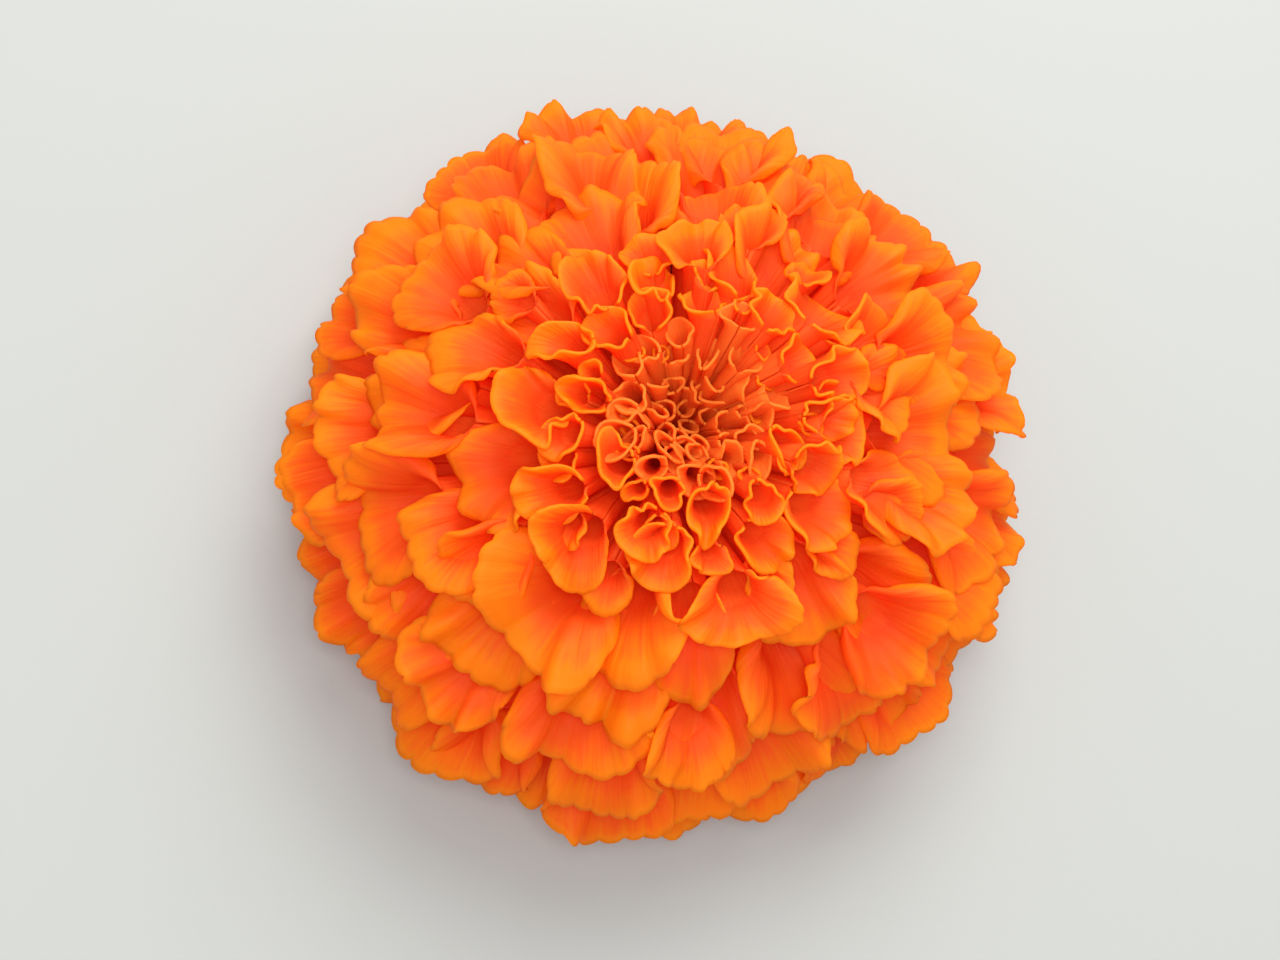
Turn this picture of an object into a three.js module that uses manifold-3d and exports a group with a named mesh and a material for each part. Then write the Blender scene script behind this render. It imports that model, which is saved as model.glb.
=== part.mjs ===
// A fully double marigold head as picked, with a short stub of its stalk, in millimetres, Z up.
// It lies face up on the tips of its lowest petals, and the stub ends just above the surface.
import * as THREE from "three";
import Module from "manifold-3d";

const wasm = await Module();
wasm.setup();

const DEGREE = Math.PI / 180;
const GOLDEN_ANGLE = 137.50776 * DEGREE;

// The head: florets stand on an envelope of revolution round a hub, dented at its top.
const HUB_Z = 17;
const HEAD_RADIUS = 46;
const DOME_HEIGHT = 33;
const SKIRT_HEIGHT = 27;
const CRATER_DEPTH = 13;
const CRATER_ANGLE = 16 * DEGREE;
const LAST_FLORET_ANGLE = 111.5 * DEGREE;
const LAST_BLADE_ANGLE = 106.3 * DEGREE;

// Spacing of the florets, from the middle of the crater to the broad outer rows.
const CELL_INNER = 2.3;
const CELL_OUTER = 10.2;
const CELL_FULL_ANGLE = 58 * DEGREE;

// The disc florets are those inside this angle from the axis.
const DISC_ANGLE = 20.5 * DEGREE;
const NODE_GAP = 0.3;

// Ray floret blades: rows of points across the petal between its sunk root and its waved margin.
// Florets on small cells have fewer points along their margin.
const BLADE_THICKNESS = 0.8;
const MIDDLE_ACROSS = [-1, -0.36, 0.36, 1];
const MARGIN_ACROSS = [-1, -0.5, 0, 0.5, 1];
const SMALL_MARGIN_ACROSS = [-1, -0.4, 0.4, 1];
const SMALL_CELL = 9.2;
const MIDDLE_ALONG = 0.45;
const FLARE_START = 10 * DEGREE;
const TUBE_WRAP = 0.985;
const LIMB_STEPS = 12;

// How much more the tubes of the lowest rows lean than their place round the head.
const SKIRT_DROOP = 8 * DEGREE;

// Disc florets: small trumpets with a frilled rim and a dark mouth.
const TRUMPET_SIDES = 5;

// The green cup of fused bracts, and the stalk under it.
const CUP_FLOOR_Z = 6;
const CUP_RIM_Z = 19.5;
const CUP_WALL = 1.1;
const BRACTS = 8;
const TOOTH_HEIGHT = 2.6;
const CUP_SIDES = 48;
const STALK_END_Z = 1.8;
const STALK_SIDES = 30;
const STALK_RIBS = 10;

const CORE_SIDES = 12;

// The surface that the head lies on: petals that would reach below it are bent up along it.
const FLOOR_Z = 1.2;
const BEND_Z = 5;
const BEND_DEPTH = 6;

// A repeatable draw between 0 and 1 for floret i and use k.
function draw(i, k) {
  const x = Math.sin(i * 12.9898 + k * 78.233 + 4.1) * 43758.5453;
  return x - Math.floor(x);
}

function signedDraw(i, k) {
  return 2 * draw(i, k) - 1;
}

function smooth(x) {
  const t = Math.min(1, Math.max(0, x));
  return t * t * (3 - 2 * t);
}

function mix(a, b, t) {
  return a + (b - a) * t;
}

// Radius and height of the envelope at an angle from the axis, seen from the hub.
function envelope(phi) {
  const height = phi < Math.PI / 2 ? DOME_HEIGHT : SKIRT_HEIGHT;
  const full = 1 / Math.hypot(Math.sin(phi) / HEAD_RADIUS, Math.cos(phi) / height);
  const reach = full - CRATER_DEPTH * Math.exp(-((phi / CRATER_ANGLE) ** 2));
  return { r: reach * Math.sin(phi), z: HUB_Z + reach * Math.cos(phi) };
}

function cellAt(phi) {
  return mix(CELL_INNER, CELL_OUTER, smooth(phi / CELL_FULL_ANGLE));
}

// The angle of each floret in turn: each takes one cell of the envelope's area.
function floretAngles() {
  const angles = [];
  let phi = 0.02;
  while (phi < LAST_FLORET_ANGLE) {
    angles.push(phi);
    const here = envelope(phi);
    const next = envelope(phi + 0.01);
    const slope = Math.hypot(next.r - here.r, next.z - here.z) / 0.01;
    const cell = cellAt(phi);
    phi += (cell * cell) / (2 * Math.PI * Math.max(here.r, 0.35 * cell) * slope);
  }
  return angles;
}

// How far a floret has opened, from a closed funnel in the middle to a broad fan.
function opening(phi) {
  return smooth((phi - 16 * DEGREE) / (36 * DEGREE));
}

// The lean of a tube's mouth: more than its place round the crater, and most on the crater's far side.
function tubeLean(phi, azimuth) {
  const fade = 1 - smooth((phi - 28 * DEGREE) / (45 * DEGREE));
  const swell = smooth((phi - 5 * DEGREE) / (14 * DEGREE)) * fade;
  const crater = (20 + 14 * Math.sin(azimuth)) * DEGREE * swell;
  const skirt = SKIRT_DROOP * smooth((phi - 75 * DEGREE) / (30 * DEGREE));
  return phi + crater + skirt;
}

// How far the lip of a floret turns out from its tube: closed near the middle, flatter at the rim.
function lipTurn(lean, open, jitter, droop) {
  const free = (30 + 54 * open + 12 * jitter) * DEGREE;
  const limit = (120 + 8 * droop) * DEGREE - Math.min(lean, 112 * DEGREE);
  return Math.max(16 * DEGREE, Math.min(free, limit));
}

// Height of a lip of this length above the throat.
function lipRise(length, turn) {
  return (length / (turn - FLARE_START)) * (Math.sin(turn) - Math.sin(FLARE_START));
}

// Length of a floret's lip, and how far its outline is set forward, as shares of its cell.
function lipShares(open) {
  return { long: 0.44 + 0.2 * open, shift: 0.2 + 0.22 * open };
}

// The directions of a floret: along its tube, towards its lip, and to its side.
function axesOf(lean, yaw, twist) {
  const out = new THREE.Vector3(Math.cos(lean), 0, -Math.sin(lean));
  const up = new THREE.Vector3(Math.sin(lean), 0, Math.cos(lean));
  const side = new THREE.Vector3(0, 1, 0);
  const axis = up.clone().multiplyScalar(Math.cos(yaw)).addScaledVector(side, Math.sin(yaw));
  side.multiplyScalar(Math.cos(yaw)).addScaledVector(up, -Math.sin(yaw));
  const front = out.clone().multiplyScalar(Math.cos(twist)).addScaledVector(side, Math.sin(twist));
  side.multiplyScalar(Math.cos(twist)).addScaledVector(out, -Math.sin(twist));
  return { axis, front, side };
}

// The frame and the measures of floret i, whose place on the envelope is angle phi.
function floret(i, place) {
  const baseCell = cellAt(place);
  const cell = baseCell * (1 + 0.17 * signedDraw(i, 1));
  const spread = (0.3 * baseCell) / Math.max(12, envelope(place).r);
  const azimuth = i * GOLDEN_ANGLE + spread * signedDraw(i, 2);
  const phi = place + 0.008 * baseCell * signedDraw(i, 18);
  const open = opening(phi);
  const rim = smooth((phi - 45 * DEGREE) / (40 * DEGREE));
  const shut = Math.min(1, Math.max(0, 1.15 - 1.25 * open + 0.45 * signedDraw(i, 5)));
  const wild = smooth(phi / (12 * DEGREE)) * (1 - smooth((phi - 40 * DEGREE) / (40 * DEGREE)));
  const disc = 1 - smooth((phi - 12 * DEGREE) / (14 * DEGREE));
  const size = cell * (1 + (0.12 + 0.06 * wild) * signedDraw(i, 6));
  const shares = lipShares(open);
  const lean = tubeLean(phi, azimuth);
  const lip = lipTurn(lean, open, signedDraw(i, 9), signedDraw(i, 22));
  const rise = lipRise((shares.long + shares.shift) * size, lip);
  const below = 0.9 * rise * (1 + 0.14 * signedDraw(i, 3));
  const top = envelope(phi);
  const throat = [top.r - below * Math.sin(phi), 0, top.z - below * Math.cos(phi)];
  const frill = smooth((phi - 14 * DEGREE) / (12 * DEGREE)) * (1 - 0.55 * open);
  const leanJitter = (12 + 3 * wild + 12 * disc) * DEGREE * signedDraw(i, 4);
  const yaw = (12 + 5 * wild + 12 * disc) * DEGREE * signedDraw(i, 19);
  const twist = (30 + 6 * wild + 50 * disc - 12 * rim) * DEGREE * signedDraw(i, 20);
  const opened = 0.62 - 0.14 * rim + 0.06 * signedDraw(i, 24);
  return {
    cell,
    azimuth,
    throat: new THREE.Vector3(...throat),
    ...axesOf(lean + leanJitter, yaw, twist),
    throatRadius: cell * (0.3 - 0.05 * open) + 0.1,
    open,
    shut,
    long: shares.long * size,
    flat: 0.85 * open,
    wide: cell * (0.46 + 0.34 * open) * (1 + 0.12 * signedDraw(i, 7)),
    shift: shares.shift * size,
    lip,
    sideTurn: (28 + 30 * open + 12 * rim + 10 * signedDraw(i, 10)) * DEGREE,
    backTurn: (20 + 12 * open + 10 * rim) * DEGREE,
    curl: (16 + 26 * signedDraw(i, 23)) * DEGREE,
    pinch: (0.34 * frill + 0.42 * disc) * signedDraw(i, 28),
    wrap: Math.PI * (TUBE_WRAP * shut + opened * (1 - shut)),
    folds: 2.6 + draw(i, 15),
    fold: cell * (0.1 + 0.05 * signedDraw(i, 17)) * (0.7 + 0.3 * open) * (1 - 0.4 * rim),
    phases: [14, 16].map((k) => 2 * Math.PI * draw(i, k)),
  };
}

// A point of a floret, from its radius and rise about the tube's axis at angle theta; its mouth may be
// pinched, wider one way than the other.
function placed(f, radius, rise, theta, pinch = 0) {
  const point = f.throat
    .clone()
    .addScaledVector(f.axis, rise)
    .addScaledVector(f.front, radius * (1 + pinch) * Math.cos(theta))
    .addScaledVector(f.side, radius * (1 - pinch) * Math.sin(theta))
    .applyAxisAngle(new THREE.Vector3(0, 0, 1), f.azimuth);
  point.z = bentUp(point.z);
  return point;
}

// Heights under BEND_Z are drawn in smoothly, so that low petals lie along the surface.
function bentUp(z) {
  return z >= BEND_Z ? z : BEND_Z - BEND_DEPTH * (1 - Math.exp((z - BEND_Z) / BEND_DEPTH));
}

// Length of the limb in the direction theta: an ellipse set forward, shorter by the slit.
function limbLength(f, theta, across) {
  const c = Math.cos(theta);
  const s = Math.sin(theta);
  const curve = (c / f.long) ** 2 + (s / f.wide) ** 2;
  const root = Math.sqrt(Math.max(curve - ((f.shift * s) / (f.long * f.wide)) ** 2, 0));
  const length = ((f.shift * c) / f.long ** 2 + root) / curve;
  const tapered = length * (1 - (0.16 + 0.4 * (1 - f.shut)) * Math.abs(across) ** 5);
  const shoulders = 1 + 0.05 * f.open * Math.sin(2 * theta) ** 2 * Math.min(1, Math.max(0, 2 * c));
  return tapered * shoulders * (1 - 0.4 * f.open * Math.max(-c, 0));
}

// A fan lies near the plane that holds its lip and its side direction. How far a direction round the tube
// turns out from the tube in that plane.
function planeTurn(f, theta) {
  return Math.atan2(Math.sin(f.lip), Math.cos(f.lip) * Math.cos(theta));
}

// How much nearer the middle of the fan such a direction lies, seen square to the plane.
function fanShift(f, theta) {
  return Math.atan2(Math.sin(f.lip) * Math.sin(theta), Math.cos(theta)) - theta;
}

// A point of the limb: across runs from one edge of the slit to the other, along from throat to margin.
function limbPoint(f, across, along) {
  const theta = across * mix(Math.PI * TUBE_WRAP, f.wrap, along ** 0.7);
  const edge = across * f.wrap;
  const fanned = f.flat * fanShift(f, edge);
  const length = limbLength(f, edge + fanned, across);
  const toLip = Math.max(Math.cos(edge), 0) ** 1.4;
  const toBack = Math.max(-Math.cos(edge), 0);
  const cupped = f.sideTurn + (f.lip - f.sideTurn) * toLip + (f.backTurn - f.sideTurn) * toBack;
  const full = mix(cupped, planeTurn(f, edge), f.flat);
  let radius = f.throatRadius;
  let rise = 0;
  let angle = FLARE_START;
  for (let step = 0; step < LIMB_STEPS; step += 1) {
    const middle = (along * (step + 0.5)) / LIMB_STEPS;
    const rolled = f.curl * (0.35 + 0.65 * toLip) * Math.max(0, (middle - 0.74) / 0.26) ** 1.5;
    angle = FLARE_START + (full - FLARE_START) * middle ** 0.92 + rolled;
    radius += ((length * along) / LIMB_STEPS) * Math.sin(angle);
    rise += ((length * along) / LIMB_STEPS) * Math.cos(angle);
  }
  const spread = theta + fanned;
  const warped = spread + 0.3 * Math.sin(2 * spread + f.phases[1]);
  const calm = 1 - (0.4 + 0.55 * f.shut) * Math.abs(across) ** 4;
  const lift = calm * f.fold * along ** 1.3 * Math.sin(f.folds * warped + f.phases[0]);
  return placed(f, radius - Math.cos(angle) * lift, rise + Math.sin(angle) * lift, theta, f.pinch * along);
}

// The foot of a blade, sunk in the core below the throat.
function rootPoint(f) {
  return placed(f, 0, -(3.2 + 0.36 * f.cell), 0);
}

function normalAt(f, across, along) {
  const step = 0.05;
  const from = Math.min(along, 1 - step);
  const wideways = limbPoint(f, across + step, from).sub(limbPoint(f, across - step, from));
  const lengthways = limbPoint(f, across, from + step).sub(limbPoint(f, across, from - step));
  return lengthways.cross(wideways).normalize();
}

// Joins two rows of vertex indices with triangles; rows may differ in their number of points.
function stitch(lower, upper, faces, flip) {
  let i = 0;
  let j = 0;
  while (i < lower.length - 1 || j < upper.length - 1) {
    const nextLower = (i + 1) / (lower.length - 1);
    const nextUpper = (j + 1) / (upper.length - 1);
    const stepUpper = j < upper.length - 1 && (i === lower.length - 1 || nextUpper <= nextLower);
    const third = stepUpper ? upper[j + 1] : lower[i + 1];
    const face = [lower[i], upper[j], third];
    faces.push(flip ? [face[0], face[2], face[1]] : face);
    if (stepUpper) j += 1;
    else i += 1;
  }
}

function solidOf(points, faces) {
  const vertices = new Float32Array(points.flatMap((p) => [p.x, p.y, p.z]));
  const mesh = new wasm.Mesh({
    numProp: 3,
    vertProperties: vertices,
    triVerts: new Uint32Array(faces.flat()),
  });
  return new wasm.Manifold(mesh);
}

// One blade: two faces that share the root and the side edges, closed along the margin.
function bladeSolid(f) {
  const points = [rootPoint(f)];
  const faces = [];
  const addRow = (acrosses, along) => {
    const faceRow = [];
    const backRow = [];
    acrosses.forEach((across, k) => {
      const onEdge = k === 0 || k === acrosses.length - 1;
      const half = normalAt(f, across, along).multiplyScalar(onEdge ? 0 : BLADE_THICKNESS / 2);
      const middle = limbPoint(f, across, along);
      faceRow.push(points.push(middle.clone().add(half)) - 1);
      backRow.push(onEdge ? points.length - 1 : points.push(middle.clone().sub(half)) - 1);
    });
    return [faceRow, backRow];
  };
  const [middleFace, middleBack] = addRow(MIDDLE_ACROSS, MIDDLE_ALONG);
  const marginAcross = f.cell < SMALL_CELL ? SMALL_MARGIN_ACROSS : MARGIN_ACROSS;
  const [marginFace, marginBack] = addRow(marginAcross, 1);
  stitch([0], middleFace, faces, false);
  stitch(middleFace, marginFace, faces, false);
  stitch([0], middleBack, faces, true);
  stitch(middleBack, marginBack, faces, true);
  closeEdge(marginFace, marginBack, faces);
  return solidOf(points, faces);
}

// Closes the strip between the two faces of a blade along its margin, whose ends they share.
function closeEdge(faceRow, backRow, faces) {
  for (let k = 0; k < faceRow.length - 1; k += 1) {
    const first = [faceRow[k], backRow[k], backRow[k + 1]];
    const second = [faceRow[k], backRow[k + 1], faceRow[k + 1]];
    [first, second].filter((half) => new Set(half).size === 3).forEach((half) => faces.push(half));
  }
}

// A closed solid from rings of equal point counts between a first and a last point.
function ringSolid(first, rings, last) {
  const points = [first, ...rings.flat(), last];
  const count = rings[0].length;
  const end = points.length - 1;
  const faces = [];
  for (let k = 0; k < count; k += 1) {
    const n = (k + 1) % count;
    faces.push([0, 1 + n, 1 + k]);
    for (let j = 0; j < rings.length - 1; j += 1) {
      const low = 1 + j * count;
      const high = low + count;
      faces.push([low + k, low + n, high + n], [low + k, high + n, high + k]);
    }
    const top = 1 + (rings.length - 1) * count;
    faces.push([top + k, top + n, end]);
  }
  return solidOf(points, faces);
}

// A turned solid: profile points [r, z] run from the axis at the bottom to the axis at the top.
function turned(profile, sides) {
  const rings = profile.slice(1, -1).map(([r, z]) => ring(sides, () => r, () => z));
  const ends = [profile[0], profile[profile.length - 1]];
  const [first, last] = ends.map(([, z]) => new THREE.Vector3(0, 0, z));
  return ringSolid(first, rings, last);
}

function ring(sides, radiusAt, heightAt) {
  return Array.from({ length: sides }, (_, k) => {
    const a = (2 * Math.PI * k) / sides;
    return new THREE.Vector3(radiusAt(a) * Math.cos(a), radiusAt(a) * Math.sin(a), heightAt(a));
  });
}

// The plain surface that the throats stand on, a little below them.
function coreAt(phi) {
  const cell = cellAt(phi);
  const open = opening(phi);
  const shares = lipShares(open);
  const rise = lipRise((shares.long + shares.shift) * cell, lipTurn(tubeLean(phi, 0), open, 0, 0));
  const below = 0.9 * rise + 0.6 + 0.09 * cell;
  const top = envelope(phi);
  return [top.r - below * Math.sin(phi), top.z - below * Math.cos(phi)];
}

// One disc floret: a closed trumpet with a frilled rim round a sunk mouth.
function trumpetSolid(f) {
  const sides = TRUMPET_SIDES;
  const wide = 0.5 * f.cell;
  const high = 0.62 * f.cell;
  const frill = (k) => (k % 2 ? 0.12 : -0.12) * f.cell;
  const at = (radius, rise, k) => placed(f, radius, rise, (2 * Math.PI * k) / sides);
  const row = (radiusOf, riseOf) =>
    Array.from({ length: sides }, (_, k) => at(radiusOf(k), riseOf(k), k));
  const root = row(() => 0.24 * f.cell, () => -1.5 - 0.4 * f.cell);
  const rim = row((k) => wide - 0.5 * frill(k), (k) => high + frill(k));
  const floor = at(0, -1.5 - 0.4 * f.cell, 0);
  return ringSolid(floor, [root, rim], at(0, 0.05 * f.cell, 0));
}

// The space over the disc, widened by a margin, used to keep disc and ray florets apart.
function discSpace(widened, lowZ) {
  const highZ = HUB_Z + 45;
  const radiusAt = (z) => (z - HUB_Z) * Math.tan(DISC_ANGLE) + widened;
  return turned([[0, lowZ], [radiusAt(lowZ), lowZ], [radiusAt(highZ), highZ], [0, highZ]], CORE_SIDES);
}

function joined(solids) {
  return solids.reduce((sum, solid) => sum.add(solid));
}

// The largest body of a solid: scraps that a cut leaves loose are dropped.
function largestBody(solid) {
  const bodies = solid.decompose();
  return bodies.reduce((best, body) => (body.volume() > best.volume() ? body : best));
}

// Outer radius of the cup at height z: a deep bowl that swells above its floor.
function cupRadius(z) {
  const t = (z - CUP_FLOOR_Z) / (CUP_RIM_Z - CUP_FLOOR_Z);
  return 6.4 + 4.2 * Math.sin(Math.min(1, Math.max(0, t)) * 1.25) ** 0.8;
}

function plugProfile() {
  const gap = CUP_WALL + NODE_GAP + 0.25;
  const heights = [CUP_FLOOR_Z + CUP_WALL + NODE_GAP, 10.5, 15, CUP_RIM_Z];
  return heights.map((z) => [cupRadius(z) - gap, z]);
}

const DISC_FLOOR_Z = 28;

// The receptacle with the sunk tubes of the rays, as one smaller core that the blades stand out of.
function rayCore() {
  const plug = plugProfile();
  const skirt = [[cupRadius(CUP_RIM_Z) - 0.8, CUP_RIM_Z + TOOTH_HEIGHT + 0.8]];
  const dome = [111, 94, 76, 58, 42, 30].map((a) => coreAt(a * DEGREE));
  const socket = (DISC_FLOOR_Z - HUB_Z) * Math.tan(DISC_ANGLE);
  const brim = coreAt(DISC_ANGLE);
  const profile = [[0, plug[0][1]], ...plug, ...skirt, ...dome, brim, [socket, DISC_FLOOR_Z]];
  return turned([...profile, [0, DISC_FLOOR_Z]], CORE_SIDES);
}

function discCore() {
  const top = [16, 11, 6].map((a) => coreAt(a * DEGREE));
  const lowZ = DISC_FLOOR_Z + NODE_GAP;
  const radius = (lowZ - HUB_Z) * Math.tan(DISC_ANGLE);
  const profile = [[0, lowZ], [radius, lowZ], coreAt(DISC_ANGLE), ...top, [0, coreAt(0)[1]]];
  return turned(profile, CORE_SIDES);
}

function rayFlorets(angles) {
  const blades = angles
    .map((phi, i) => ({ phi, i }))
    .filter(({ phi }) => phi >= DISC_ANGLE && phi < LAST_BLADE_ANGLE)
    .map(({ phi, i }) => bladeSolid(floret(i, phi)));
  const all = joined([rayCore(), ...blades]);
  const clear = discSpace(NODE_GAP / 2, DISC_FLOOR_Z);
  return largestBody(all.subtract(clear).subtract(cupClearance()).intersect(aboveFloor()));
}

function discFlorets(angles) {
  const trumpets = angles
    .map((phi, i) => ({ phi, i }))
    .filter(({ phi }) => phi < DISC_ANGLE)
    .map(({ phi, i }) => trumpetSolid(floret(i, phi)));
  const zone = discSpace(-NODE_GAP / 2, DISC_FLOOR_Z + NODE_GAP);
  return largestBody(joined([discCore(), ...trumpets]).intersect(zone));
}

// Half the space, above the surface that the head lies on.
function aboveFloor() {
  const box = new THREE.BoxGeometry(200, 200, 100).translate(0, 0, 50 + FLOOR_Z);
  const corners = box.getAttribute("position");
  const unique = [];
  const index = [];
  for (let k = 0; k < corners.count; k += 1) {
    const p = new THREE.Vector3().fromBufferAttribute(corners, k);
    const found = unique.findIndex((q) => q.distanceTo(p) < 1e-6);
    index.push(found < 0 ? unique.push(p) - 1 : found);
  }
  const order = Array.from(box.index.array, (v) => index[v]);
  const faces = Array.from({ length: order.length / 3 }, (_, k) => order.slice(3 * k, 3 * k + 3));
  return solidOf(unique, faces);
}

// The space that the cup and the stalk take, with a gap all round.
function cupClearance() {
  const low = CUP_FLOOR_Z - NODE_GAP;
  const rim = CUP_RIM_Z + TOOTH_HEIGHT + NODE_GAP;
  const outer = [9, 13, 17, CUP_RIM_Z, rim].map((z) => [cupRadius(z) + 0.55, z]);
  const shell = turned([[0, -5], [8, -5], [8, low], ...outer, [0, rim]], CUP_SIDES);
  const plug = plugProfile();
  const keep = turned([[0, plug[0][1]], ...plug, [plug[3][0], rim + 1], [0, rim + 1]], CUP_SIDES);
  return shell.subtract(keep);
}

// The cup: bracts fused side by side, each with a rounded rib and a pointed tooth.
function involucre() {
  const phase = (a) => (((a * BRACTS) / (2 * Math.PI)) % 1) - 0.5;
  const rib = (a) => 0.35 * Math.cos(2 * Math.PI * phase(a));
  const tooth = (a) => TOOTH_HEIGHT * (1 - 2 * Math.abs(phase(a))) ** 1.2;
  const outer = [CUP_FLOOR_Z, 7.5, 10.5, 14, 17.5].map((z) =>
    ring(CUP_SIDES, (a) => cupRadius(z) + rib(a) * smooth((z - 5) / 6), () => z),
  );
  const rimOut = ring(CUP_SIDES, () => cupRadius(CUP_RIM_Z) + 0.1, (a) => CUP_RIM_Z + tooth(a));
  const rimIn = ring(CUP_SIDES, () => cupRadius(CUP_RIM_Z) - 0.6, (a) => CUP_RIM_Z + tooth(a));
  const inner = [15, 10.5, CUP_FLOOR_Z + CUP_WALL].map((z) =>
    ring(CUP_SIDES, () => cupRadius(z) - CUP_WALL, () => z),
  );
  const floor = new THREE.Vector3(0, 0, CUP_FLOOR_Z);
  const inside = new THREE.Vector3(0, 0, CUP_FLOOR_Z + CUP_WALL);
  return ringSolid(floor, [...outer, rimOut, rimIn, ...inner], inside);
}

// The stalk: ribbed, swelling towards the cup.
function peduncle() {
  const rib = (a) => 0.18 * Math.cos(STALK_RIBS * a);
  const top = CUP_FLOOR_Z - NODE_GAP;
  const rings = [[4.2, STALK_END_Z], [4.5, 2.4], [5.3, 4.2], [6.2, top]].map(([r, z]) =>
    ring(STALK_SIDES, (a) => r + rib(a), () => z),
  );
  return ringSolid(new THREE.Vector3(0, 0, STALK_END_Z), rings, new THREE.Vector3(0, 0, top));
}

function meshOf(name, solid, colour) {
  const { vertProperties, triVerts } = solid.getMesh();
  const geometry = new THREE.BufferGeometry();
  geometry.setAttribute("position", new THREE.BufferAttribute(vertProperties, 3));
  geometry.setIndex(new THREE.BufferAttribute(triVerts, 1));
  geometry.computeVertexNormals();
  const material = new THREE.MeshStandardMaterial({ color: colour, roughness: 0.7 });
  const mesh = new THREE.Mesh(geometry, material);
  mesh.name = name;
  return mesh;
}

const angles = floretAngles();
const head = new THREE.Group();
head.name = "marigold_head";
head.add(meshOf("ray_florets", rayFlorets(angles), 0xff6a14));
head.add(meshOf("disc_florets", discFlorets(angles), 0xe85a12));
head.add(meshOf("involucre", involucre(), 0x5f8a3c));
head.add(meshOf("peduncle", peduncle(), 0x6f9a48));

// The origin lies under the middle of the head's box, on the surface that it rests on.
const middle = new THREE.Box3().setFromObject(head).getCenter(new THREE.Vector3());
head.position.set(-middle.x, -middle.y, -FLOOR_Z);

export default head;
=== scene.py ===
"""Looks of the marigold head: fine ruffled florets, bract cup and stalk, in soft studio light."""

import math

import bmesh
import bpy
import numpy as np
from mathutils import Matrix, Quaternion, Vector
from mathutils.bvhtree import BVHTree


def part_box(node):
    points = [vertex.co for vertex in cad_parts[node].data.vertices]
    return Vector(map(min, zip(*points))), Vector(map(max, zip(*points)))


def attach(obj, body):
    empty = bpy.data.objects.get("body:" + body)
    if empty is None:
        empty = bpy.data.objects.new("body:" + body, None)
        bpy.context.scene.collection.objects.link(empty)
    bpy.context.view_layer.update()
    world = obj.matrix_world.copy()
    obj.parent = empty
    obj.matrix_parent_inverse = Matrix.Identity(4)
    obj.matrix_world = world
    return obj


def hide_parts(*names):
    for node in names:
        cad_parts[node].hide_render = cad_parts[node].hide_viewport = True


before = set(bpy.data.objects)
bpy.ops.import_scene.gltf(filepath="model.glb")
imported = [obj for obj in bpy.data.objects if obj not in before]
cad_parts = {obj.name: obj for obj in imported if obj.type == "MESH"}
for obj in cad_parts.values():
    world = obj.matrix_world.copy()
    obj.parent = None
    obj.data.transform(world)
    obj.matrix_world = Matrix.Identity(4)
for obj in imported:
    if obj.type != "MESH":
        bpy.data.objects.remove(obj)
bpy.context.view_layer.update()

# The shapes are computed in millimetres about the head's axis; Blender's own scene is in metres.
MM = 0.001
TINY = 1e-9
MERGE_DISTANCE = 1e-7

# The head, as in the solids: florets stand on an envelope of revolution round a hub.
GOLDEN_ANGLE = math.radians(137.50776)
HUB_Z = 17.0
HEAD_RADIUS = 46.0
DOME_HEIGHT = 33.0
SKIRT_HEIGHT = 27.0
CRATER_DEPTH = 13.0
CRATER_ANGLE = math.radians(16)
FIRST_FLORET_ANGLE = 0.02
LAST_FLORET_ANGLE = math.radians(111.5)
SLOPE_STEP = 0.01

# Spacing of the florets, and the least radius, in cells, of the ring that they are counted out on.
CELL_INNER = 2.3
CELL_OUTER = 10.2
CELL_FULL_ANGLE = math.radians(58)
LEAST_RING = 0.35

# The surface that the head lies on: low petals are bent up along it and stay a little above it.
FLOOR_Z = 1.2
LEAST_CLEARANCE = 0.2
LOWEST_Z = FLOOR_Z + LEAST_CLEARANCE
BEND_Z = 5.0
BEND_DEPTH = 6.0

# Zones of the head: the angle from its axis at which each sets in, and over what span, in degrees.
OPENING = (16, 36)
RIM = (45, 40)
WILD_START = (0, 12)
WILD_END = (40, 40)
DISC_END = (12, 14)
FRILL_START = (14, 12)
SWELL_START = (5, 14)
SWELL_END = (28, 45)
SKIRT_START = (75, 30)

# The lean of a tube over its place: round the crater, where it is most on the far side, and in the skirt.
CRATER_LEAN = (20, 14)
SKIRT_DROOP = math.radians(8)

# How much the neighbours on the spiral differ. A pair gives the least and how much more it grows.
TURN_SPREAD = 0.30
LEAST_TURN_RADIUS = 12.0
PLACE_SPREAD = 0.008
SIZE_SPREAD = (0.12, 0.06)
JITTER = {
    "cell": 0.17,
    "depth": 0.14,
    "shut": 0.45,
    "width": 0.12,
    "lip": 12,
    "side": 10,
    "fold": 0.05,
    "limit": 8,
    "curl": 26,
    "wrap": 0.06,
    "ruffle": 0.025,
}

# The number of the draw that decides each measure. The solids have the same number for the same measure.
DRAWS = {
    "cell": 1,
    "turn": 2,
    "depth": 3,
    "lean": 4,
    "shut": 5,
    "size": 6,
    "width": 7,
    "lip": 9,
    "side": 10,
    "folds": 15,
    "fold": 17,
    "place": 18,
    "yaw": 19,
    "twist": 20,
    "limit": 22,
    "curl": 23,
    "wrap": 24,
    "lobes": 25,
    "waves": 26,
    "ruffle": 27,
    "pinch": 28,
    "tint": 31,
}
PHASE_DRAWS = {"broad": 12, "scallop": 13, "fold": 14, "warp": 16, "ruffle": 21}

# The most that a floret tilts at random, in degrees: anywhere, and more in the wild zone, near the disc
# and by the rim.
LEAN_TILT = (12, 3, 12, 0)
YAW_TILT = (12, 5, 12, 0)
TWIST_TILT = (30, 6, 50, -12)

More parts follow.
